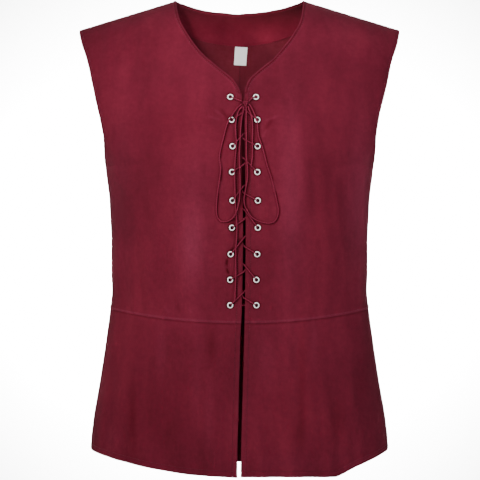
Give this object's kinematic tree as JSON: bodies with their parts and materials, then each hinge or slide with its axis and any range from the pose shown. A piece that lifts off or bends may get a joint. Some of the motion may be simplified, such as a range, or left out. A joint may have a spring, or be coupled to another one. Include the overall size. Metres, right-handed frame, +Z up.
{
  "type": "laced renaissance vest",
  "caption": "Sleeveless burgundy faux suede vest with a laced front slit, waist seam and flared skirt, hollow as when worn.",
  "frame": {"origin": "middle of the neck opening, level with the neck ends of the shoulder seams, where the wearer's shoulders hold the garment", "axes": "-Y is the front, +X is the wearer's left, +Z is up"},
  "size_m": [0.479, 0.267, 0.7025],
  "materials": {
    "suede": "matte faux suede with a soft nap",
    "facing": "matte faux suede, flat side",
    "label": "smooth woven ribbon, bare",
    "eyelet": "polished nickel plate",
    "lace": "matte twisted cord"
  },
  "bodies": {
    "root": {"front_bodice_right": "suede", "front_bodice_left": "suede", "front_skirt_right": "suede", "front_skirt_left": "suede", "back_bodice_right": "suede", "back_bodice_left": "suede", "back_skirt": "suede", "back_neck_facing": "facing", "care_label": "label", "eyelet_right_1": "eyelet", "eyelet_right_2": "eyelet", "eyelet_right_3": "eyelet", "eyelet_right_4": "eyelet", "eyelet_right_5": "eyelet", "eyelet_right_6": "eyelet", "eyelet_right_7": "eyelet", "eyelet_right_8": "eyelet", "eyelet_right_9": "eyelet", "eyelet_left_1": "eyelet", "eyelet_left_2": "eyelet", "eyelet_left_3": "eyelet", "eyelet_left_4": "eyelet", "eyelet_left_5": "eyelet", "eyelet_left_6": "eyelet", "eyelet_left_7": "eyelet", "eyelet_left_8": "eyelet", "eyelet_left_9": "eyelet", "lacing_from_right": "lace", "lacing_from_left": "lace", "bow_knot": "lace", "bow_loop_right": "lace", "bow_loop_left": "lace", "lace_end_right": "lace", "lace_end_left": "lace"}
  },
  "joints": []
}
